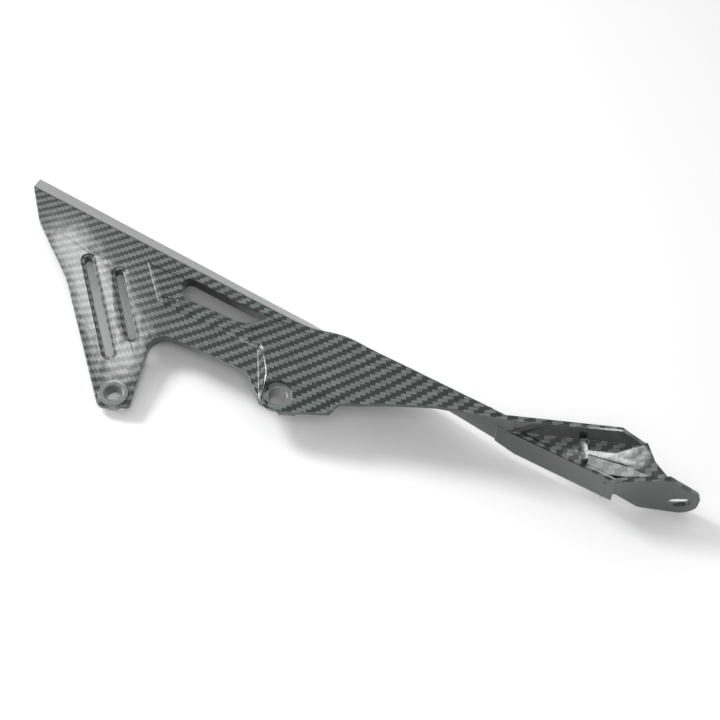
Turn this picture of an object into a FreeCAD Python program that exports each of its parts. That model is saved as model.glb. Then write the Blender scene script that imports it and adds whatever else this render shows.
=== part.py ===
import FreeCAD, Part

# Motorcycle chain guard: one injection-moulded shell, bolted to the swingarm by two screws and
# held at the front by a slotted lug. Millimetres. +X runs forward through both screw holes, +Z is up
# and +Y points inboard, to the chain. The origin is midway between the screw holes, on the outer
# face of the side plate, which lies in the XZ plane.

import math
import os
import re

import Sketcher

document = FreeCAD.newDocument("chain_guard_model")

# Driving dimensions. A fall is the drop in Z for each millimetre forward.
sizes = {
    # mould
    "wall": 3.0,
    "cornerRound": 2.5,
    # screw holes and their seats
    "holeSpacing": 90.0,
    "holeRadius": 4.7,
    "holeBevel": 0.8,
    "seatRadius": 8.3,
    "seatProud": 0.8,
    "bossDepth": 8.0,
    "middleSeatProud": 1.0,
    "middleSeatRim": 1.7,
    # upper corner of the side plate, where the roof starts
    "tailX": -112.0,
    "neckX": 173.0,
    "neckZ": -8.3,
    "frontFall": 0.528,
    "tailFall": 0.567,
    "shoulderX": 68.0,
    "shoulderHalf": 11.0,
    "shoulderDrop": 6.6,
    # roof over the chain
    "roofTailWidth": 25.0,
    "roofNeckWidth": 30.0,
    "roofLevelX": 170.0,
    "roofFrontRise": 0.128,
    "roofTailRise": 0.05,
    "roofTailLift": 8.3,
    # side view of the plate
    "tailEndX": -105.0,
    "tailEndZ": 137.0,
    "tailSlant": 5.5,
    "tailBendX": -99.0,
    "tailBendZ": 113.0,
    "tailBendRound": 30.0,
    "rearBendX": -79.0,
    "rearBendZ": 74.0,
    "rearBendRound": 60.0,
    "footDrop": 8.0,
    "footRearReach": 8.2,
    "footFrontX": -35.6,
    "footRearRound": 4.5,
    "footFrontRound": 3.5,
    "archX": -26.7,
    "archZ": 41.6,
    "archRound": 9.0,
    "stripEndX": 27.0,
    "stripEndZ": 16.0,
    "stripEndRound": 5.0,
    "middleEdgeX": 38.4,
    "middleEdgeRound": 9.8,
    "middleDrop": 9.8,
    "middleStepX": 74.0,
    "middleStepLength": 5.0,
    "middleStepRound": 3.0,
    "farBelow": 60.0,
    "bellyDrop": 5.0,
    "bellyEndX": 132.0,
    "bellyRound": 30.0,
    # raised panel, which leans out from a hinge line under the upper corner
    "hingeX": 58.0,
    "hingeZ": 43.0,
    "hingeFall": 0.481,
    "panelLean": 0.1266,
    "foldSlope": 40.0,
    "foldTopX": -33.0,
    "foldBendX": -24.5,
    "foldBendZ": 58.5,
    "foldBendRound": 9.0,
    "foldEndX": 33.0,
    "foldEndZ": 30.5,
    "foldEndRound": 6.0,
    "foldBossX": 37.5,
    "panelEndX": 167.0,
    "panelInset": 4.5,
    # lower facet of the panel, which turns back in under the middle hole
    "creaseX": 36.0,
    "creaseZ": 14.0,
    "creaseFall": 0.257,
    "facetReturn": 0.165,
    "facetEndX": 125.0,
    # window and its raised frame
    "frameLean": 0.175,
    "frameWidth": 3.0,
    "windowRearX": -13.0,
    "windowRearZ": 79.5,
    "windowLowX": -10.8,
    "windowLowZ": 61.5,
    "windowBellyX": 25.5,
    "windowBellyZ": 44.6,
    "windowTipX": 38.5,
    "windowTipZ": 50.3,
    "windowRound": 4.0,
    "windowBellyRound": 12.0,
    "windowTipRound": 1.5,
    "lipWall": 2.2,
    "windowLip": 8.5,
    # vent slots
    "slotTopX": -67.7,
    "slotTopZ": 87.5,
    "slotLowX": -49.9,
    "slotLowZ": 25.8,
    "slotSecondTopX": -49.2,
    "slotSecondTopZ": 79.0,
    "slotSecondLowX": -38.0,
    "slotSecondLowZ": 37.5,
    "slotRadius": 2.3,
    "slotRecess": 0.8,
    "slotRecessMargin": 1.9,
    "slotLip": 6.0,
    # return lip down the front of the foot, round the arch and along the start of the strip
    "archLipDepth": 3.2,
    "archLipRise": 0.1125,
    "archLipFade": 0.086,
    "archLipWidth": 2.6,
    "archLipRound": 11.0,
    "archLipEndX": 12.0,
    # front section: a ledge, an upright wall under it and the strip that carries the lug
    "ledgeFall": 0.0976,
    "ledgeEndX": 251.0,
    "ledgeRound": 12.0,
    "frontWallY": 13.0,
    "frontWallEndX": 261.0,
    "stripEndY": 35.0,
    "stripWallX": 214.0,
    "stripFootX": 229.0,
    "brimX": 216.0,
    "brimZ": -24.6,
    "brimMiddleX": 234.0,
    "brimMiddleZ": -30.0,
    "brimEndX": 258.0,
    "gussetReach": 5.0,
    "gussetDrop": 9.4,
    "ribX": 212.0,
    "ribWidth": 4.0,
    "ribReach": 4.5,
    "ribTopZ": -19.0,
    "ribLowZ": -30.0,
    # slotted lug
    "lugTopZ": -37.0,
    "lugX": 270.0,
    "lugY": 40.3,
    "lugSlotLength": 13.0,
    "lugSlotWidth": 9.0,
    "lugEndX": 281.5,
    "lugEndY": 54.0,
    "lugRound": 9.0,
}

sheet = document.addObject("Spreadsheet::Sheet", "Sizes")
for row, (alias, number) in enumerate(sizes.items(), start=1):
    sheet.set(f"A{row}", alias)
    sheet.set(f"B{row}", str(number))
    sheet.setAlias(f"B{row}", alias)
document.recompute()

aliasWords = re.compile(r"\b(" + "|".join(sizes) + r")\b")
farAway = 400.0


def bound(formula):
    """Point every alias in a formula at its cell."""
    return aliasWords.sub(r"Sizes.\1", str(formula))


body = document.addObject("PartDesign::Body", "chain_guard")
body.Label = "chain_guard"


def originPlane(role):
    return next(item for item in body.Origin.OriginFeatures if item.Role == role)


def newSketch(name, role, offset):
    """A sketch on one of the body's origin planes, moved along that plane's normal."""
    sketch = body.newObject("Sketcher::SketchObject", name)
    sketch.AttachmentSupport = (originPlane(role), [""])
    sketch.MapMode = "FlatFace"
    sketch.setExpression("AttachmentOffset.Base.z", bound(offset))
    return sketch


def holdPoint(sketch, geometry, position, across, along):
    """Fix a point of a sketch at two formulas from the sketch's origin."""
    point = sketch.getPoint(geometry, position)
    for kind, start, formula in (("DistanceX", point.x, across), ("DistanceY", point.y, along)):
        index = sketch.addConstraint(Sketcher.Constraint(kind, -1, 1, geometry, position, start))
        sketch.setExpression(f"Constraints[{index}]", bound(formula))


def holdRadius(sketch, geometry, formula):
    radius = sketch.Geometry[geometry].Radius
    index = sketch.addConstraint(Sketcher.Constraint("Radius", geometry, radius))
    sketch.setExpression(f"Constraints[{index}]", bound(formula))


def drawOutline(sketch, corners):
    """A closed outline. A corner is (across, along) or (across, along, alias of its rounding)."""
    first = sketch.GeometryCount
    count = len(corners)
    turn = 2 * math.pi / count
    ring = [FreeCAD.Vector(math.cos(turn * k), math.sin(turn * k), 0) * 50 for k in range(count)]
    for k in range(count):
        sketch.addGeometry(Part.LineSegment(ring[k], ring[(k + 1) % count]), False)
    for k in range(count):
        following = first + (k + 1) % count
        sketch.addConstraint(Sketcher.Constraint("Coincident", first + k, 2, following, 1))
    for k, corner in enumerate(corners):
        holdPoint(sketch, first + k, 1, corner[0], corner[1])
    document.recompute()
    for k, corner in enumerate(corners):
        if len(corner) == 3:
            arc = sketch.GeometryCount
            sketch.fillet(first + k, 1, sizes[corner[2]], True, True)
            holdRadius(sketch, arc, corner[2])


def drawCircle(sketch, across, along, radius):
    sketch.addGeometry(Part.Circle(FreeCAD.Vector(0, 0, 0), FreeCAD.Vector(0, 0, 1), 5), False)
    circle = sketch.GeometryCount - 1
    holdPoint(sketch, circle, 3, across, along)
    holdRadius(sketch, circle, radius)


def drawSlot(sketch, upper, lower, radius, upperStart, lowerStart):
    """A round-ended slot between two centres, given as formulas and drawn first from numbers."""
    a = FreeCAD.Vector(*upperStart, 0)
    b = FreeCAD.Vector(*lowerStart, 0)
    turn = math.atan2(b.y - a.y, b.x - a.x)
    side = FreeCAD.Vector(-math.sin(turn), math.cos(turn), 0) * 3
    normal = FreeCAD.Vector(0, 0, 1)
    first = sketch.GeometryCount
    sketch.addGeometry([
        Part.LineSegment(a + side, b + side),
        Part.ArcOfCircle(Part.Circle(b, normal, 3), turn - math.pi / 2, turn + math.pi / 2),
        Part.LineSegment(b - side, a - side),
        Part.ArcOfCircle(Part.Circle(a, normal, 3), turn + math.pi / 2, turn + 3 * math.pi / 2),
    ], False)
    for one, end, other, start in ((0, 2, 1, 2), (1, 1, 2, 1), (2, 2, 3, 2), (3, 1, 0, 1)):
        sketch.addConstraint(Sketcher.Constraint("Tangent", first + one, end, first + other, start))
    sketch.addConstraint(Sketcher.Constraint("Equal", first + 1, first + 3))
    holdPoint(sketch, first + 3, 3, upper[0], upper[1])
    holdPoint(sketch, first + 1, 3, lower[0], lower[1])
    holdRadius(sketch, first + 1, radius)


def newPad(name, sketch, depth, inboard=True):
    """A pad that runs inboard, or the other way along the sketch's normal: outboard or upward."""
    pad = body.newObject("PartDesign::Pad", name)
    pad.Profile = sketch
    pad.Reversed = inboard
    pad.setExpression("Length", bound(depth))
    document.recompute()
    return pad


def newPocket(name, sketch, depth=None):
    """A pocket that runs inboard by a depth, or right through both ways where no depth is given."""
    pocket = body.newObject("PartDesign::Pocket", name)
    pocket.Profile = sketch
    if depth is None:
        pocket.Midplane = True
        pocket.Length = farAway
    else:
        pocket.setExpression("Length", bound(depth))
    document.recompute()
    return pocket


# Upper corner line, one formula for every station along X. Behind the shoulder it runs lower.
def frontLine(x):
    return f"(neckZ + (neckX - ({x})) * frontFall)"


def tailLine(x):
    return f"({frontLine('shoulderX')} - shoulderDrop + (shoulderX - ({x})) * tailFall)"


def cornerLine(x):
    ease = f"tanh(1.6 * (({x}) - shoulderX) / shoulderHalf)"
    return f"(({frontLine(x)} + {tailLine(x)}) / 2 + ({frontLine(x)} - {tailLine(x)}) / 2 * {ease})"


def roofEdge(x):
    """Height of the roof's inboard edge, which climbs above the corner towards the tail."""
    back = f"(roofLevelX - ({x}))"
    rise = f"max(0; min({back} * roofFrontRise; roofTailLift + {back} * roofTailRise))"
    return f"({frontLine(x)} + {rise})"


def hingeLine(x):
    return f"(hingeZ + (hingeX - ({x})) * hingeFall)"


# The side plate and the roof are one bent section that twists along the guard.
sections = []
sectionCount = 19
for k in range(sectionCount):
    station = f"(tailX + (neckX + wall - tailX) * {k} / {sectionCount - 1})"
    sketch = newSketch(f"section_{k}", "YZ_Plane", station)
    width = f"(roofTailWidth + (roofNeckWidth - roofTailWidth) * {k} / {sectionCount - 1})"
    drawOutline(sketch, [
        ("0", "-footDrop * 2"),
        ("0", cornerLine(station), "cornerRound"),
        (width, roofEdge(station)),
        (width, f"{roofEdge(station)} - wall"),
        ("wall", f"{cornerLine(station)} - wall * 1.1"),
        ("wall", "-footDrop * 2"),
    ])
    sections.append(sketch)
profile = body.newObject("PartDesign::AdditiveLoft", "bent_profile")
profile.Profile = sections[0]
profile.Sections = sections[1:]
document.recompute()

def slopedPlane(name, across, along, out, runOut, lean, depth="0"):
    """A datum plane through a point of the side view that lies the length `out` outboard of the
    plate. It moves outboard by `runOut` for each millimetre back and by `lean` for each one down."""
    plane = body.newObject("PartDesign::Plane", name)
    plane.AttachmentSupport = (originPlane("XZ_Plane"), [""])
    plane.MapMode = "FlatFace"
    stretch = f"sqrt(1 + ({runOut}) ^ 2 + ({lean}) ^ 2)"
    for path, formula in (
        ("Base.x", across),
        ("Base.y", along),
        ("Base.z", f"({out}) - ({depth}) * {stretch}"),
        ("Rotation.Axis.x", f"-({lean})"),
        ("Rotation.Axis.y", f"({runOut})"),
        ("Rotation.Axis.z", "0"),
        ("Rotation.Angle", f"atan(sqrt(({runOut}) ^ 2 + ({lean}) ^ 2))"),
    ):
        plane.setExpression(f"AttachmentOffset.{path}", bound(formula))
    document.recompute()
    return plane


def leanPlane(name, lean, depth):
    """A plane hinged on the hinge line and leaning outboard below it, sunk by a depth."""
    return slopedPlane(name, "hingeX", "hingeZ", "0", f"{lean} * hingeFall", lean, depth)


def newPadUpTo(name, sketch, plane):
    pad = body.newObject("PartDesign::Pad", name)
    pad.Profile = sketch
    pad.Type = "UpToFace"
    pad.UpToFace = (plane, [""])
    document.recompute()
    return pad


def newPocketUpTo(name, sketch, plane):
    pocket = body.newObject("PartDesign::Pocket", name)
    pocket.Profile = sketch
    pocket.Type = "UpToFace"
    pocket.UpToFace = (plane, [""])
    document.recompute()
    return pocket


# Raised panel: a facet that leans out from the hinge line, with a sloping fold round its rear and
# lower sides.
belowPlate = "-footDrop * 5"
panelOuter = leanPlane("panel_outer_plane", "panelLean", "0")
panelSketch = newSketch("panel_outline", "XZ_Plane", "0")
drawOutline(panelSketch, [
    ("foldTopX", f"{hingeLine('foldTopX')} - 0.6"),
    ("foldBendX", "foldBendZ", "foldBendRound"),
    ("foldEndX", "foldEndZ", "foldEndRound"),
    ("foldBossX", belowPlate),
    ("panelEndX", belowPlate),
    ("panelEndX", f"{hingeLine('panelEndX')} - 0.6"),
])
panelBlock = newPad("panel_block", panelSketch, "10", inboard=False)
panelBlock.setExpression("TaperAngle", bound("-foldSlope"))
document.recompute()
panelTrim = newSketch("panel_face_outline", "XZ_Plane", "30")
drawOutline(panelTrim, [
    ("foldTopX - 20", f"{hingeLine('foldTopX - 20')}"),
    ("foldTopX - 20", belowPlate),
    ("panelEndX + 3", belowPlate),
    ("panelEndX + 3", hingeLine("panelEndX + 3")),
])
newPocketUpTo("panel_face", panelTrim, panelOuter)


def creaseLine(x):
    return f"(creaseZ + (creaseX - ({x})) * creaseFall)"


# Below a crease the panel turns back in, so that its lower edge is level with the middle seat.
creaseOut = "panelLean * (hingeZ - creaseZ + (hingeX - creaseX) * hingeFall)"
facetRunOut = "panelLean * (hingeFall - creaseFall) - facetReturn * creaseFall"
facetOuter = slopedPlane("facet_outer_plane", "creaseX", "creaseZ", creaseOut, facetRunOut,
                         "-facetReturn")
facetSketch = newSketch("facet_outline", "XZ_Plane", "30")
drawOutline(facetSketch, [
    ("creaseX - 12", creaseLine("creaseX - 12")),
    ("creaseX - 12", "-footDrop * 3"),
    ("facetEndX", "-footDrop * 3"),
    ("facetEndX", creaseLine("facetEndX")),
])
newPocketUpTo("panel_facet", facetSketch, facetOuter)

# The panel is hollow behind, so that its wall stays even. Round the middle hole it stays solid.
panelInner = leanPlane("panel_inner_plane", "panelLean", "wall")
hollowSketch = newSketch("panel_hollow_outline", "XZ_Plane", "-wall")
hollowStart = "foldBossX + panelInset * 1.3"
drawOutline(hollowSketch, [
    ("foldTopX + panelInset * 1.6", f"{hingeLine('foldTopX + panelInset * 1.6')} - 1"),
    ("foldBendX + panelInset * 0.9", "foldBendZ + panelInset * 0.5", "foldEndRound"),
    ("foldEndX + panelInset * 1.2", "foldEndZ + panelInset * 0.8", "foldEndRound"),
    (hollowStart, creaseLine(hollowStart)),
    ("facetEndX", creaseLine("facetEndX")),
    ("facetEndX", belowPlate),
    ("panelEndX - 1", belowPlate),
    ("panelEndX - 1", f"{hingeLine('panelEndX - 1')} - 1"),
])
newPocketUpTo("panel_hollow", hollowSketch, panelInner)
facetInner = slopedPlane("facet_inner_plane", "creaseX", "creaseZ", creaseOut, facetRunOut,
                         "-facetReturn", "wall")
bossClear = "holeSpacing / 2 + seatRadius + lipWall"
facetHollow = newSketch("facet_hollow_outline", "XZ_Plane", "-wall")
drawOutline(facetHollow, [
    (hollowStart, creaseLine(hollowStart)),
    (f"{bossClear} - 4", "seatRadius * 0.7"),
    (bossClear, "0"),
    (bossClear, "-middleDrop * 1.3"),
    ("facetEndX", "-middleDrop * 1.3"),
    ("facetEndX", creaseLine("facetEndX")),
])
newPocketUpTo("facet_hollow", facetHollow, facetInner)

# Raised frame round the window, a second facet with a little more lean.
frameOuter = leanPlane("frame_plane", "frameLean", "0")
frameSketch = newSketch("frame_outline", "XZ_Plane", "0")
drawOutline(frameSketch, [
    ("windowRearX - frameWidth * 2", f"{hingeLine('windowRearX - frameWidth * 2')} - 0.6"),
    ("windowLowX - frameWidth", "windowLowZ - frameWidth", "windowRound"),
    ("windowBellyX", "windowBellyZ - frameWidth * 1.2", "windowBellyRound"),
    ("windowTipX + frameWidth * 3", f"{hingeLine('windowTipX + frameWidth * 3')} - 0.6"),
])
newPadUpTo("window_frame", frameSketch, frameOuter)

# Window, with a return lip behind its edge.
windowCorners = [
    ("windowRearX", "windowRearZ", "windowRound"),
    ("windowLowX", "windowLowZ", "windowRound"),
    ("windowBellyX", "windowBellyZ", "windowBellyRound"),
    ("windowTipX", "windowTipZ", "windowTipRound"),
]
windowLipCorners = [
    ("windowRearX - lipWall", "windowRearZ + lipWall * 1.8", "windowRound"),
    ("windowLowX - lipWall * 0.9", "windowLowZ - lipWall * 0.6", "windowRound"),
    ("windowBellyX", "windowBellyZ - lipWall * 1.1", "windowBellyRound"),
    ("windowTipX + lipWall * 2", "windowTipZ + lipWall * 0.2", "windowTipRound"),
]
lipSketch = newSketch("window_lip_outline", "XZ_Plane", "-wall / 2")
drawOutline(lipSketch, windowLipCorners)
newPad("window_lip", lipSketch, "windowLip - wall / 2")
windowSketch = newSketch("window_outline", "XZ_Plane", "0")
drawOutline(windowSketch, windowCorners)
newPocket("window", windowSketch)

# Vent slots: a lip behind, a shallow recess in front, then the slot itself.
vents = [("rear_vent", ("slotTopX", "slotTopZ"), ("slotLowX", "slotLowZ")),
         ("front_vent", ("slotSecondTopX", "slotSecondTopZ"), ("slotSecondLowX", "slotSecondLowZ"))]
for name, upper, lower in vents:
    upperStart = [sizes[alias] for alias in upper]
    lowerStart = [sizes[alias] for alias in lower]
    lipSketch = newSketch(f"{name}_lip_outline", "XZ_Plane", "-wall / 2")
    drawSlot(lipSketch, upper, lower, "slotRadius + lipWall", upperStart, lowerStart)
    newPad(f"{name}_lip", lipSketch, "slotLip - wall / 2")
    recessSketch = newSketch(f"{name}_recess_outline", "XZ_Plane", "0")
    drawSlot(recessSketch, upper, lower, "slotRadius + slotRecessMargin",
             upperStart, lowerStart)
    newPocket(f"{name}_recess", recessSketch, "slotRecess")
    slotSketch = newSketch(f"{name}_outline", "XZ_Plane", "0")
    drawSlot(slotSketch, upper, lower, "slotRadius", upperStart, lowerStart)
    newPocket(name, slotSketch)


def newCylinder(name, across, outboard, depth, radius):
    """A round pad in the side view that starts a length outboard of the plate and runs inboard."""
    sketch = newSketch(f"{name}_outline", "XZ_Plane", outboard)
    drawCircle(sketch, across, "0", radius)
    return newPad(name, sketch, depth)


# Screw bosses. The rear seat stands proud, the middle one is sunk into the panel.
farOut = "30"
newCylinder("rear_boss", "-holeSpacing / 2", "seatProud", "seatProud + bossDepth", "seatRadius")
seatSketch = newSketch("middle_seat_outline", "XZ_Plane", farOut)
drawCircle(seatSketch, "holeSpacing / 2", "0", "seatRadius")
newPocket("middle_seat", seatSketch, f"{farOut} - middleSeatProud")
newCylinder("middle_boss", "holeSpacing / 2", "middleSeatProud", "middleSeatProud + bossDepth",
            "seatRadius + middleSeatRim")
holes = [("rear", "-holeSpacing / 2", "seatProud"), ("middle", "holeSpacing / 2", "middleSeatProud")]
for name, across, proud in holes:
    bevelSketch = newSketch(f"{name}_bevel_outline", "XZ_Plane", proud)
    drawCircle(bevelSketch, across, "0", "holeRadius + holeBevel")
    bevel = newPocket(f"{name}_bevel", bevelSketch, "holeBevel")
    bevel.TaperAngle = -45
    holeSketch = newSketch(f"{name}_hole_outline", "XZ_Plane", "0")
    drawCircle(holeSketch, across, "0", "holeRadius")
    newPocket(f"{name}_hole", holeSketch)

# Return lip, deepest in the arch.
archLipPlane = slopedPlane("arch_lip_plane", "footFrontX", "-footDrop", "-archLipDepth",
                           "-archLipFade", "archLipRise")
archSlope = "((archZ - stripEndZ) / (stripEndX - archX))"
lipSketch = newSketch("arch_lip_outline", "XZ_Plane", "-wall / 2")
drawOutline(lipSketch, [
    ("footFrontX - archLipWidth", "-footDrop - 3"),
    ("archX - archLipWidth * 1.1", "archZ + archLipWidth * 1.1", "archLipRound"),
    ("archLipEndX", f"archZ - (archLipEndX - archX) * {archSlope} + archLipWidth * 1.1"),
    ("archLipEndX", f"archZ - (archLipEndX - archX) * {archSlope} - archLipWidth"),
    ("archX + archLipWidth", "archZ - archLipWidth * 2.6"),
    ("footFrontX + archLipWidth", "-footDrop - 3"),
])
newPadUpTo("arch_lip", lipSketch, archLipPlane)

# Side view: everything left of the tail and below the lower edge is cut away.
trimSketch = newSketch("side_view_outline", "XZ_Plane", "0")
drawOutline(trimSketch, [
    ("tailEndX - tailSlant", "tailEndZ + 40"),
    ("tailEndX", "tailEndZ", "tailBendRound"),
    ("tailBendX", "tailBendZ", "tailBendRound"),
    ("rearBendX", "rearBendZ", "rearBendRound"),
    ("-holeSpacing / 2 - footRearReach", "-footDrop", "footRearRound"),
    ("footFrontX", "-footDrop", "footFrontRound"),
    ("archX", "archZ", "archRound"),
    ("stripEndX", "stripEndZ", "stripEndRound"),
    ("middleEdgeX", "-middleDrop", "middleEdgeRound"),
    ("middleStepX", "-middleDrop - 0.5", "middleStepRound"),
    ("middleStepX + middleStepLength", "-bellyDrop", "middleStepRound"),
    ("bellyEndX", "-bellyDrop + 0.5", "bellyRound"),
    ("neckX + 5", "neckZ - 4"),
    ("neckX + 5", "-farBelow"),
    ("tailEndX - 40", "-farBelow"),
    ("tailEndX - 40", "tailEndZ + 40"),
])
newPocket("side_view_trim", trimSketch)


# Front section. A level-ended strip carries on from the roof, a ledge carries on from the upper
# corner, and an upright wall joins the two.
def ledgeLine(x):
    return f"(neckZ - (({x}) - neckX) * ledgeFall)"


stripSketch = newSketch("front_strip_outline", "XZ_Plane", "-frontWallY")
drawOutline(stripSketch, [
    ("neckX - 6", frontLine("neckX - 6")),
    ("stripFootX + 2", frontLine("stripFootX + 2")),
    ("stripFootX + 2", f"{frontLine('stripFootX + 2')} - wall * 1.1"),
    ("neckX - 6", f"{frontLine('neckX - 6')} - wall * 1.1"),
])
newPad("front_strip", stripSketch, "stripEndY - frontWallY")
stripCorner = newSketch("strip_corner_outline", "XY_Plane", "0")
drawOutline(stripCorner, [
    ("neckX - 7", "roofNeckWidth"),
    ("neckX + 5", "stripEndY"),
    ("neckX + 5", "stripEndY + 10"),
    ("neckX - 7", "stripEndY + 10"),
])
newPocket("strip_corner", stripCorner)

ledgeSketch = newSketch("ledge_outline", "XZ_Plane", "0")
drawOutline(ledgeSketch, [
    ("neckX - 6", f"{frontLine('neckX - 6')} - wall"),
    ("neckX", "neckZ"),
    ("frontWallEndX + 10", ledgeLine("frontWallEndX + 10")),
    ("frontWallEndX + 10", f"{ledgeLine('frontWallEndX + 10')} - wall"),
    ("neckX + 4", f"{ledgeLine('neckX + 4')} - wall"),
])
newPad("ledge", ledgeSketch, "frontWallY + wall")
ledgeCorner = newSketch("ledge_corner_outline", "XY_Plane", "0")
drawOutline(ledgeCorner, [
    ("ledgeEndX - 19", "-wall"),
    ("ledgeEndX - 14", "frontWallY * 0.2", "ledgeRound"),
    ("ledgeEndX - 1", "frontWallY + wall"),
    ("ledgeEndX - 1", "frontWallY * 2"),
    ("frontWallEndX + 20", "frontWallY * 2"),
    ("frontWallEndX + 20", "-wall"),
])
newPocket("ledge_corner", ledgeCorner)

wallSketch = newSketch("front_wall_outline", "XZ_Plane", "-frontWallY")
drawOutline(wallSketch, [
    ("neckX + 5", f"{ledgeLine('neckX + 5')} - 1"),
    ("ledgeEndX - 1", f"{ledgeLine('ledgeEndX - 1')} - 1"),
    ("ledgeEndX + 2.4", "brimMiddleZ + 1.5"),
    ("frontWallEndX", "lugTopZ - wall"),
    ("brimEndX", "lugTopZ - wall"),
    ("brimMiddleX", "brimMiddleZ"),
    ("brimX", "brimZ"),
    ("stripWallX", f"{frontLine('stripWallX')} - 1"),
])
newPad("front_wall", wallSketch, "wall")

# Gusset: a slanting facet from the wall's lower edge down to the lug.
gussetSections = []
gussets = [("stripWallX", "brimZ + 0.8", "gussetReach", "gussetDrop"),
           ("brimEndX", "lugTopZ - wall * 0.4", "gussetReach * 0.2", "wall * 0.6")]
for k, (across, top, reach, drop) in enumerate(gussets):
    sketch = newSketch(f"gusset_section_{k}", "YZ_Plane", across)
    drawOutline(sketch, [
        ("frontWallY", top),
        (f"frontWallY + {reach}", f"{top} - {drop}"),
        (f"frontWallY + {reach} + wall", f"{top} - {drop}"),
        ("frontWallY + wall", top),
    ])
    gussetSections.append(sketch)
gusset = body.newObject("PartDesign::AdditiveLoft", "gusset")
gusset.Profile = gussetSections[0]
gusset.Sections = gussetSections[1:]
gusset.Ruled = True
document.recompute()

lugSketch = newSketch("lug_outline", "XY_Plane", "lugTopZ - wall")
drawOutline(lugSketch, [
    ("stripFootX - 4", "frontWallY + gussetReach"),
    ("stripFootX - 4", "stripEndY"),
    ("stripFootX + 4", "stripEndY - 4"),
    ("lugX - 22", "lugEndY - 6.7", "lugRound"),
    ("lugEndX", "lugEndY + 2", "lugRound"),
    ("lugEndX", "lugY - 6", "lugRound"),
    ("frontWallEndX", "frontWallY"),
    ("stripFootX + 14", "frontWallY + 1"),
])
newPad("lug", lugSketch, "wall", inboard=False)
lugSlot = newSketch("lug_slot_outline", "XY_Plane", "0")
halfSlot = "(lugSlotLength - lugSlotWidth) / 2"
lugPlaces = [[sizes["lugX"] + shift, sizes["lugY"]] for shift in (-2, 2)]
drawSlot(lugSlot, (f"lugX - {halfSlot}", "lugY"), (f"lugX + {halfSlot}", "lugY"), "lugSlotWidth / 2",
         *lugPlaces)
newPocket("lug_slot", lugSlot)

ribSketch = newSketch("rib_outline", "XZ_Plane", "-frontWallY - 1")
drawOutline(ribSketch, [
    ("ribX", "ribLowZ"),
    ("ribX", "ribTopZ + 2"),
    ("ribX + ribWidth", "ribTopZ + 2"),
    ("ribX + ribWidth", "ribLowZ"),
])
newPad("rib", ribSketch, "ribReach + 1", inboard=False)

body.Tip = body.Group[-1]
document.recompute()
for item in document.Objects:
    if "Invalid" in item.State or "Error" in item.State:
        raise RuntimeError(f"{item.Name} did not rebuild: {item.getStatusString()}")
if body.Shape.isNull() or not body.Shape.isValid() or len(body.Shape.Solids) != 1:
    raise RuntimeError(f"{body.Label} is not one valid solid")

os.makedirs("parts", exist_ok=True)
body.Shape.exportStep(f"parts/{body.Label}.step")
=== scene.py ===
import math

import bmesh
import bpy
from mathutils import Matrix, Vector


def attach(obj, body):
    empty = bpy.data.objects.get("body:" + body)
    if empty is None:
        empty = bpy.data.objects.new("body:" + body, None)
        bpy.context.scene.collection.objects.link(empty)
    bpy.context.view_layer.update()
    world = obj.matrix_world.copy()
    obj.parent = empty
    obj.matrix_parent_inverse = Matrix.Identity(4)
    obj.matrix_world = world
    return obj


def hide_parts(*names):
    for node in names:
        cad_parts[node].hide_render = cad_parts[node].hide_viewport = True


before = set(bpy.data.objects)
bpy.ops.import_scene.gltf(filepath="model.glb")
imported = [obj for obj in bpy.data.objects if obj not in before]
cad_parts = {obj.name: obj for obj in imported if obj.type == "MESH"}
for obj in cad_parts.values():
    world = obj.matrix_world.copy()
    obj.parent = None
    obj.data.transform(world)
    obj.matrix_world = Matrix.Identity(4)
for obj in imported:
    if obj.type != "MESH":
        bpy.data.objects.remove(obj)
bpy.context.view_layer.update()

# Motorcycle chain guard: one gloss ABS moulding. Its outer faces carry a film printed with a carbon
# weave, under clear lacquer. It hangs in its mounted frame: +X forward, +Z up, -Y outboard.


def hexToLinear(text):
    parts = [int(text[k:k + 2], 16) / 255 for k in (1, 3, 5)]
    linear = [c / 12.92 if c <= 0.04045 else ((c + 0.055) / 1.055) ** 2.4 for c in parts]
    return (*linear, 1.0)


def addNode(tree, kind, inputs=(), **settings):
    # inputs: a dictionary by socket, or a list in the order of the sockets. Each is a plain value,
    # or the output socket that feeds it.
    node = tree.nodes.new(kind)
    for name, value in settings.items():
        setattr(node, name, value)
    for key, value in inputs.items() if isinstance(inputs, dict) else enumerate(inputs):
        if isinstance(value, bpy.types.NodeSocket):
            tree.links.new(value, node.inputs[key])
        else:
            node.inputs[key].default_value = value
    return node


def newMaterial(name):
    material = bpy.data.materials.new(name)
    material.use_nodes = True
    material.node_tree.nodes.clear()
    return material, material.node_tree


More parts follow.
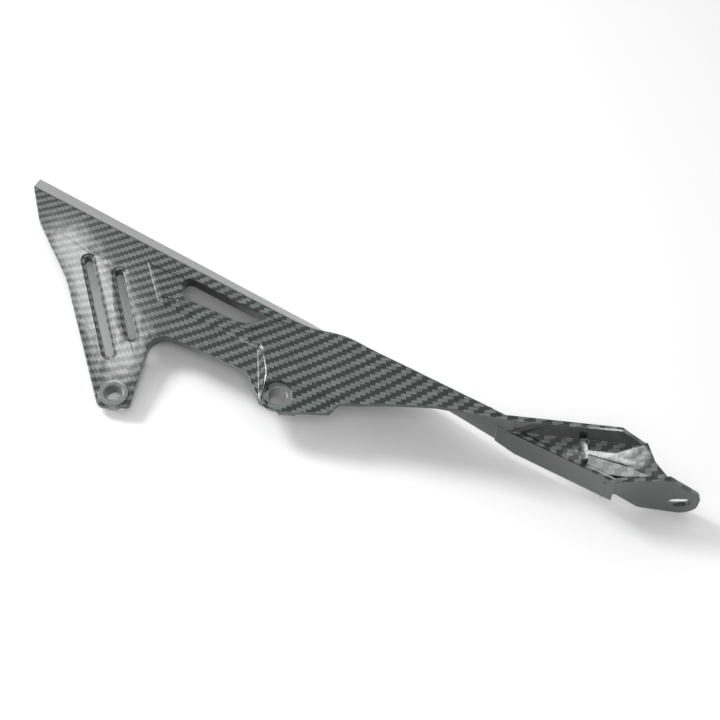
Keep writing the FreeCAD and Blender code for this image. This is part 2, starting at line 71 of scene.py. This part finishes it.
# Water-transfer film under clear lacquer: a dull print seen through a hard gloss coat, which gives
# soft white glare with the weave still showing. The film is printed with a 2/2 twill and was draped
# over the moulding, so the weave runs straight along Y, and is stretched more towards the front. It
# fades to plain on the walls, on the roof and on the screw seats. Lengths are in mm.
weave = {
    "lightTow": "#5c6461",
    "darkTow": "#1c2120",
    "seat": "#5f6664",         # plain light grey on the screw seats, with no print
    "plain": "#2c302f",        # where it fades, on the walls and the roof
    "towWide": 2.45,           # one float across, at the middle of the guard
    "towWideGrowth": 0.0016,   # and how much it grows for each mm forward
    "towHigh": 1.55,
    "towHighGrowth": 0.0036,
    "repeat": 4.0,             # a 2/2 twill repeats every four tows
    "overUnder": 1.5,          # and two of them are on top
    "sag": 0.3154,             # the rows run downhill towards the front
    "sagCurve": -0.001025,
    "wander": 0.5,             # uneven stretch, in floats either way
    "wanderSize": 28.0,
    "crown": 0.35,             # how much a float darkens towards its long edges
    "speckle": 0.15,           # brightness from float to float, either way
    "cloud": 0.25,             # and over larger areas
    "cloudsPerMm": 0.045,
    "roughness": 0.42,
    "printSpecular": 0.2,
    "ior": 1.5,
    "lacquerRoughness": 0.09,
    "roofLacquer": 0.4,        # the lacquer is thin on the roof
    "orangePeel": 7.0,         # size of the lacquer's ripple
    "peelStrength": 0.12,
    "peelDepth": 0.0004,       # in metres
    "printFrom": (0.4, 0.68),  # outboard part of the normal where the print sets in
    "roofFrom": (0.15, 0.45),  # upward part of the normal where it fades on the roof
    "seatX": 45.0,             # the seats stand this far from the origin
    "seatRadius": 8.2,
}


def wovenFilm():
    material, tree = newMaterial("carbonFilmUnderLacquer")
    place = addNode(tree, "ShaderNodeTexCoord").outputs["Object"]
    spot = addNode(tree, "ShaderNodeVectorMath", {0: place, "Scale": 1000.0}, operation="SCALE").outputs[0]
    axes = addNode(tree, "ShaderNodeSeparateXYZ", [spot]).outputs

    # which float a point is on: columns forward, rows up, both stretched and wandering
    drift = addNode(tree, "ShaderNodeTexNoise", {"Vector": spot, "Scale": 1 / weave["wanderSize"],
                                                "Detail": 1.0}).outputs["Fac"]
    drift = addNode(tree, "ShaderNodeMath", [drift, 2 * weave["wander"], -weave["wander"]],
                    operation="MULTIPLY_ADD").outputs[0]
    wide = addNode(tree, "ShaderNodeMath", [axes["X"], weave["towWideGrowth"], weave["towWide"]],
                   operation="MULTIPLY_ADD").outputs[0]
    high = addNode(tree, "ShaderNodeMath", [axes["X"], weave["towHighGrowth"], weave["towHigh"]],
                   operation="MULTIPLY_ADD").outputs[0]
    across = addNode(tree, "ShaderNodeMath", [axes["X"], wide], operation="DIVIDE").outputs[0]
    across = addNode(tree, "ShaderNodeMath", [across, drift], operation="ADD").outputs[0]
    square = addNode(tree, "ShaderNodeMath", [axes["X"], axes["X"]], operation="MULTIPLY").outputs[0]
    bend = addNode(tree, "ShaderNodeMath", [square, weave["sagCurve"]], operation="MULTIPLY").outputs[0]
    row = addNode(tree, "ShaderNodeMath", [axes["X"], weave["sag"], axes["Z"]],
                  operation="MULTIPLY_ADD").outputs[0]
    row = addNode(tree, "ShaderNodeMath", [row, bend], operation="ADD").outputs[0]
    up = addNode(tree, "ShaderNodeMath", [row, high], operation="DIVIDE").outputs[0]
    up = addNode(tree, "ShaderNodeMath", [up, drift], operation="ADD").outputs[0]
    column = addNode(tree, "ShaderNodeMath", [across], operation="FLOOR").outputs[0]
    line = addNode(tree, "ShaderNodeMath", [up], operation="FLOOR").outputs[0]
    turn = addNode(tree, "ShaderNodeMath", [line, column], operation="SUBTRACT").outputs[0]
    turn = addNode(tree, "ShaderNodeMath", [turn, weave["repeat"]], operation="FLOORED_MODULO").outputs[0]
    light = addNode(tree, "ShaderNodeMath", [turn, weave["overUnder"]], operation="LESS_THAN").outputs[0]
    dark = addNode(tree, "ShaderNodeMath", [1.0, light], operation="SUBTRACT").outputs[0]

    # each float is rounded, so it darkens towards both of its long edges
    edges = []
    for position, onTop in ((up, light), (across, dark)):
        part = addNode(tree, "ShaderNodeMath", [position], operation="FRACT").outputs[0]
        part = addNode(tree, "ShaderNodeMath", [part, 2.0, -1.0], operation="MULTIPLY_ADD").outputs[0]
        part = addNode(tree, "ShaderNodeMath", [part, part], operation="MULTIPLY").outputs[0]
        edges.append(addNode(tree, "ShaderNodeMath", [part, onTop], operation="MULTIPLY").outputs[0])
    edge = addNode(tree, "ShaderNodeMath", edges, operation="ADD").outputs[0]

    # brightness of each float and of larger areas
    shade = addNode(tree, "ShaderNodeMath", [edge, -weave["crown"], 1.0],
                    operation="MULTIPLY_ADD").outputs[0]
    cell = addNode(tree, "ShaderNodeCombineXYZ", [column, line]).outputs[0]
    speck = addNode(tree, "ShaderNodeTexWhiteNoise", {"Vector": cell},
                    noise_dimensions="2D").outputs["Value"]
    cloud = addNode(tree, "ShaderNodeTexNoise", {"Vector": spot, "Scale": weave["cloudsPerMm"],
                                                "Detail": 3.0}).outputs["Fac"]
    for noise, reach in ((speck, weave["speckle"]), (cloud, weave["cloud"])):
        change = addNode(tree, "ShaderNodeMath", [noise, 2 * reach, -reach],
                         operation="MULTIPLY_ADD").outputs[0]
        shade = addNode(tree, "ShaderNodeMath", [shade, change], operation="ADD").outputs[0]
    tow = addNode(tree, "ShaderNodeMix", {"Factor": light, "A": hexToLinear(weave["darkTow"]),
                                          "B": hexToLinear(weave["lightTow"])},
                  data_type="RGBA").outputs["Result"]
    woven = addNode(tree, "ShaderNodeVectorMath", {0: tow, "Scale": shade}, operation="SCALE").outputs[0]

    # where the print shows: on faces that look outboard, but not on the roof or the screw seats
    normal = addNode(tree, "ShaderNodeNewGeometry").outputs["Normal"]
    facing = addNode(tree, "ShaderNodeSeparateXYZ", [normal]).outputs
    outward = addNode(tree, "ShaderNodeMath", [facing["Y"], -1.0], operation="MULTIPLY").outputs[0]
    outward = addNode(tree, "ShaderNodeMapRange", {"Value": outward, "From Min": weave["printFrom"][0],
                                                   "From Max": weave["printFrom"][1]},
                      interpolation_type="SMOOTHSTEP").outputs["Result"]
    side = addNode(tree, "ShaderNodeMapRange", {"Value": facing["Z"], "From Min": weave["roofFrom"][0],
                                                "From Max": weave["roofFrom"][1], "To Min": 1.0,
                                                "To Max": 0.0},
                   interpolation_type="SMOOTHSTEP").outputs["Result"]
    fromHole = addNode(tree, "ShaderNodeMath", [axes["X"]], operation="ABSOLUTE").outputs[0]
    fromHole = addNode(tree, "ShaderNodeMath", [fromHole, weave["seatX"]], operation="SUBTRACT").outputs[0]
    fromHole = addNode(tree, "ShaderNodeCombineXYZ", [fromHole, axes["Z"]]).outputs[0]
    fromHole = addNode(tree, "ShaderNodeVectorMath", [fromHole], operation="LENGTH").outputs["Value"]
    clearOfSeat = addNode(tree, "ShaderNodeMath", [fromHole, weave["seatRadius"]],
                          operation="GREATER_THAN").outputs[0]
    bare = addNode(tree, "ShaderNodeMix", {"Factor": clearOfSeat, "A": hexToLinear(weave["seat"]),
                                           "B": hexToLinear(weave["plain"])},
                   data_type="RGBA").outputs["Result"]
    printed = addNode(tree, "ShaderNodeMath", [outward, side], operation="MULTIPLY").outputs[0]
    printed = addNode(tree, "ShaderNodeMath", [printed, clearOfSeat], operation="MULTIPLY").outputs[0]
    colour = addNode(tree, "ShaderNodeMix", {"Factor": printed, "A": bare, "B": woven},
                     data_type="RGBA").outputs["Result"]

    lacquered = addNode(tree, "ShaderNodeMath", [side, 1.0 - weave["roofLacquer"], weave["roofLacquer"]],
                        operation="MULTIPLY_ADD").outputs[0]
    peel = addNode(tree, "ShaderNodeTexNoise", {"Vector": spot, "Scale": 1 / weave["orangePeel"],
                                               "Detail": 1.0}).outputs["Fac"]
    lacquer = addNode(tree, "ShaderNodeBump", {"Height": peel, "Strength": weave["peelStrength"],
                                               "Distance": weave["peelDepth"]}).outputs[0]
    shader = addNode(tree, "ShaderNodeBsdfPrincipled", {
        "Base Color": colour,
        "Roughness": weave["roughness"],
        "Specular IOR Level": weave["printSpecular"],
        "IOR": weave["ior"],
        "Coat Weight": lacquered,
        "Coat Roughness": weave["lacquerRoughness"],
        "Coat IOR": weave["ior"],
        "Coat Normal": lacquer,
    }).outputs[0]
    addNode(tree, "ShaderNodeOutputMaterial", {"Surface": shader})
    return material


# The back of the moulding is bare black ABS, gloss from the mould, with a faint flow texture that
# breaks up its reflections.
bareAbs = {
    "colour": "#1d1f20",
    "shadeSpread": 0.5,
    "roughness": 0.24,
    "roughnessSpread": 0.12,
    "ior": 1.54,
    "flowSize": 14.0,          # mm
    "rippleStrength": 0.15,
    "rippleDepth": 0.0003,     # in metres
}


def mouldedAbs():
    material, tree = newMaterial("mouldedBlackAbs")
    place = addNode(tree, "ShaderNodeTexCoord").outputs["Object"]
    spot = addNode(tree, "ShaderNodeVectorMath", {0: place, "Scale": 1000.0}, operation="SCALE").outputs[0]
    flow = addNode(tree, "ShaderNodeTexNoise", {"Vector": spot, "Scale": 1 / bareAbs["flowSize"],
                                               "Detail": 4.0}).outputs["Fac"]
    spread = bareAbs["shadeSpread"]
    shade = addNode(tree, "ShaderNodeMath", [flow, spread, 1.0 - spread / 2],
                    operation="MULTIPLY_ADD").outputs[0]
    colour = addNode(tree, "ShaderNodeVectorMath", {0: hexToLinear(bareAbs["colour"])[:3], "Scale": shade},
                     operation="SCALE").outputs[0]
    spread = bareAbs["roughnessSpread"]
    rough = addNode(tree, "ShaderNodeMath", [flow, spread, bareAbs["roughness"] - spread / 2],
                    operation="MULTIPLY_ADD").outputs[0]
    ripple = addNode(tree, "ShaderNodeBump", {"Height": flow, "Strength": bareAbs["rippleStrength"],
                                              "Distance": bareAbs["rippleDepth"]}).outputs[0]
    shader = addNode(tree, "ShaderNodeBsdfPrincipled", {
        "Base Color": colour,
        "Roughness": rough,
        "IOR": bareAbs["ior"],
        "Normal": ripple,
    }).outputs[0]
    addNode(tree, "ShaderNodeOutputMaterial", {"Surface": shader})
    return material


# The moulding keeps the frame's shape. Its edges are broken, as a polished mould leaves them, and
# the fold that runs round the raised panel is rounded more. Lengths are in metres.
moulding = {
    "weldGap": 0.00001,
    "flatWithin": 0.3,             # degrees between triangles of one flat face
    "edgeRound": 0.00035,
    "roundSteps": 3,
    "sharpFrom": 24.0,             # degrees, from which an edge is broken
    "foldRound": 0.001,
    "foldSlope": (-0.72, -0.56),   # outboard part of the normal on the fold's slope
    "foldTop": -0.93,              # and on the flat face above it
    "foldEndsX": (-0.036, 0.042),
    "filmOutward": -0.15,          # faces that look outboard more than this carry the film
    "filmUpward": 0.25,            # and so does the roof
    "filmDepth": 0.0075,           # the film wraps over edges this far in from the outer face
    "filmInward": 0.5,
    "bossX": 0.045,                # the bosses stand behind the screw holes
    "bossEnd": 0.006,
    "bossFoot": 0.0105,
    "bossTip": 0.0064,
}


def draftBosses(shell):
    # the bosses taper towards their ends, as they draw from the mould
    moved = 0
    for vertex in shell.verts:
        across = abs(vertex.co.x) - moulding["bossX"]
        reach = math.hypot(across, vertex.co.z)
        if vertex.co.y > moulding["bossEnd"] and moulding["bossTip"] < reach < moulding["bossFoot"]:
            shrink = moulding["bossTip"] / reach
            vertex.co.x = math.copysign(moulding["bossX"] + across * shrink, vertex.co.x)
            vertex.co.z *= shrink
            moved += 1
    print("boss ends:", moved, "vertices drawn in")


def isFold(edge):
    # the upper edge of the slope that runs round the raised panel
    steep, flat = sorted((face.normal.y for face in edge.link_faces), reverse=True)
    low, high = moulding["foldSlope"]
    start, end = moulding["foldEndsX"]
    inReach = all(start < vertex.co.x < end for vertex in edge.verts)
    return low < steep < high and flat < moulding["foldTop"] and edge.is_convex and inReach


def weighEdges(shell):
    weights = shell.edges.layers.float.new("bevel_weight_edge")
    sharp = math.radians(moulding["sharpFrom"])
    folds = 0
    for edge in shell.edges:
        if len(edge.link_faces) == 2 and edge.calc_face_angle() > sharp:
            fold = isFold(edge)
            folds += fold
            edge[weights] = 1.0 if fold else moulding["edgeRound"] / moulding["foldRound"]
    print("folds:", folds, "edges rounded off")


def mouldedGuard():
    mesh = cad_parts["chain_guard"].data.copy()
    mesh.name = "chain_guard_moulding"
    shell = bmesh.new()
    shell.from_mesh(mesh)
    bmesh.ops.remove_doubles(shell, verts=shell.verts, dist=moulding["weldGap"])
    bmesh.ops.dissolve_limit(shell, angle_limit=math.radians(moulding["flatWithin"]),
                             use_dissolve_boundaries=False, verts=shell.verts, edges=shell.edges)
    # a face with an opening in it fills in wrongly once its edges are broken, so it is cut up first
    bmesh.ops.triangulate(shell, faces=shell.faces)
    draftBosses(shell)
    bmesh.ops.recalc_face_normals(shell, faces=shell.faces)
    shell.normal_update()
    weighEdges(shell)
    for face in shell.faces:
        face.smooth = True
        normal = face.normal
        outer = normal.y < moulding["filmOutward"] or normal.z > moulding["filmUpward"]
        middle = face.calc_center_median()
        wrapped = middle.y < moulding["filmDepth"] and normal.y < moulding["filmInward"]
        face.material_index = 0 if outer or wrapped else 1
    shell.to_mesh(mesh)
    shell.free()
    mesh.materials.clear()
    mesh.materials.append(wovenFilm())
    mesh.materials.append(mouldedAbs())
    piece = bpy.data.objects.new("chain_guard_moulding", mesh)
    bpy.context.scene.collection.objects.link(piece)
    edges = piece.modifiers.new("brokenEdges", "BEVEL")
    edges.width = moulding["foldRound"]
    edges.segments = moulding["roundSteps"]
    edges.limit_method = "WEIGHT"
    edges.use_clamp_overlap = False
    flats = piece.modifiers.new("flatFacesStayFlat", "WEIGHTED_NORMAL")
    flats.mode = "FACE_AREA"
    flats.weight = 100
    evaluated = piece.evaluated_get(bpy.context.evaluated_depsgraph_get())
    finished = bpy.data.meshes.new_from_object(evaluated)
    piece.modifiers.clear()
    piece.data = finished
    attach(piece, "root")
    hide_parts("chain_guard")
    print("moulding:", len(finished.polygons), "faces")


# The guard lies on a white table behind it, outer face up. The table is the plane that the rear
# boss, the tail of the roof and the lug touch, and it shows from its upper side only.
table = {
    "normal": (-0.154, 0.976, -0.154),
    "distance": 0.0166,            # from the origin, in metres
    "under": (0.09, 0.0, 0.06),    # the middle of the guard
    "reach": 2.5,
    "white": "#f4f5f4",            # matt laminate
    "roughness": 0.6,
}


def whiteTable():
    material, tree = newMaterial("whiteLaminate")
    below = addNode(tree, "ShaderNodeNewGeometry").outputs["Backfacing"]
    top = addNode(tree, "ShaderNodeBsdfPrincipled", {"Base Color": hexToLinear(table["white"]),
                                                     "Roughness": table["roughness"]}).outputs[0]
    clear = addNode(tree, "ShaderNodeBsdfTransparent").outputs[0]
    shader = addNode(tree, "ShaderNodeMixShader", [below, top, clear]).outputs[0]
    addNode(tree, "ShaderNodeOutputMaterial", {"Surface": shader})
    normal = Vector(table["normal"]).normalized()
    across = Vector((1, 0, 0)).cross(normal).normalized()
    along = normal.cross(across).normalized()
    centre = normal * table["distance"] + Vector(table["under"])
    centre -= normal * (centre.dot(normal) - table["distance"])
    reach = table["reach"]
    corners = [centre + along * a * reach + across * b * reach
               for a, b in ((-1, -1), (1, -1), (1, 1), (-1, 1))]
    mesh = bpy.data.meshes.new("table_top")
    mesh.from_pydata(corners, [], [(0, 1, 2, 3)])
    mesh.update()
    if mesh.polygons[0].normal.dot(normal) > 0:
        mesh.flip_normals()
    mesh.materials.append(material)
    piece = bpy.data.objects.new("table_top", mesh)
    bpy.context.scene.collection.objects.link(piece)
    print("table:", 2 * reach, "m square,", table["distance"], "m behind the origin")


# Soft studio light: each lamp's place, the point it looks at, its width, height and watts, and how
# far it leans in its own plane, in degrees. Lengths are in metres.
guardMiddle = (0.08, 0.0, 0.05)
lamps = {
    "window": ((-0.8, -1.0, 0.62), guardMiddle, 0.42, 0.42, 14.0, 0.0),
    "side": ((-1.0, -0.36, 0.2), guardMiddle, 0.3, 0.3, 3.5, 0.0),
    "frontFill": ((0.1, -1.1, -0.55), guardMiddle, 0.5, 0.5, 4.5, 0.0),
    "lowStrip": ((-0.62, -0.36, -0.74), guardMiddle, 0.4, 0.1, 2.0, 0.0),
    "footHaze": ((-0.22, -0.835, 0.58), (-0.06, 0.0, 0.06), 0.045, 0.19, 0.3, 34.0),
    "wallGlint": ((0.385, -0.87, 0.42), (0.235, 0.013, -0.025), 0.06, 0.024, 0.12, 0.0),
}
# The room gives more light from above. The camera sees it plain white.
room = {"background": 1.0, "low": 0.35, "high": 0.7, "levels": (-0.6, 0.6)}


def lighting():
    for name, (place, aim, width, height, watts, lean) in lamps.items():
        lamp = bpy.data.lights.new(name, "AREA")
        lamp.shape = "RECTANGLE"
        lamp.size = width
        lamp.size_y = height
        lamp.energy = watts
        piece = bpy.data.objects.new(name, lamp)
        turn = (Vector(place) - Vector(aim)).to_track_quat("Z", "Y").to_matrix().to_4x4()
        leaning = Matrix.Rotation(math.radians(lean), 4, "Z")
        piece.matrix_world = Matrix.Translation(place) @ turn @ leaning
        bpy.context.scene.collection.objects.link(piece)
    world = bpy.data.worlds.new("studio")
    bpy.context.scene.world = world
    world.use_nodes = True
    tree = world.node_tree
    tree.nodes.clear()
    white = (1.0, 1.0, 1.0, 1.0)
    seen = addNode(tree, "ShaderNodeLightPath").outputs["Is Camera Ray"]
    plain = addNode(tree, "ShaderNodeBackground", [white, room["background"]]).outputs[0]
    direction = addNode(tree, "ShaderNodeTexCoord").outputs["Generated"]
    height = addNode(tree, "ShaderNodeSeparateXYZ", [direction]).outputs["Z"]
    glow = addNode(tree, "ShaderNodeMapRange", {"Value": height, "From Min": room["levels"][0],
                                                "From Max": room["levels"][1], "To Min": room["low"],
                                                "To Max": room["high"]}).outputs["Result"]
    soft = addNode(tree, "ShaderNodeBackground", [white, glow]).outputs[0]
    mixed = addNode(tree, "ShaderNodeMixShader", [seen, soft, plain]).outputs[0]
    addNode(tree, "ShaderNodeOutputWorld", {"Surface": mixed})
    print("lights:", len(lamps), "lamps and the room")


# The photograph looks up at the outer face from below the mounted guard. The place is in mm, the
# angles in degrees.
viewpoint = {
    "place": (90.2, -784.1, -428.2),
    "elevation": 30.0,
    "roll": 1.22,
    "fieldOfView": 25.0,
    "farthest": 20.0,              # in metres
}


def photoCamera():
    lift = math.radians(viewpoint["elevation"])
    roll = math.radians(viewpoint["roll"])
    ahead = Vector((0, math.cos(lift), math.sin(lift)))
    level = Vector((1, 0, 0))
    upright = Vector((0, -math.sin(lift), math.cos(lift)))
    right = level * math.cos(roll) + upright * math.sin(roll)
    up = upright * math.cos(roll) - level * math.sin(roll)
    lens = bpy.data.cameras.new("photoCamera")
    lens.sensor_fit = "HORIZONTAL"
    lens.angle = math.radians(viewpoint["fieldOfView"])
    lens.clip_end = viewpoint["farthest"]
    piece = bpy.data.objects.new("photoCamera", lens)
    turn = Matrix((right, up, -ahead)).transposed().to_4x4()
    piece.matrix_world = Matrix.Translation(Vector(viewpoint["place"]) / 1000) @ turn
    bpy.context.scene.collection.objects.link(piece)
    bpy.context.scene.camera = piece
    print("camera:", viewpoint["fieldOfView"], "degrees, looking up", viewpoint["elevation"])


mouldedGuard()
whiteTable()
lighting()
photoCamera()
bpy.context.scene.view_settings.view_transform = "Standard"
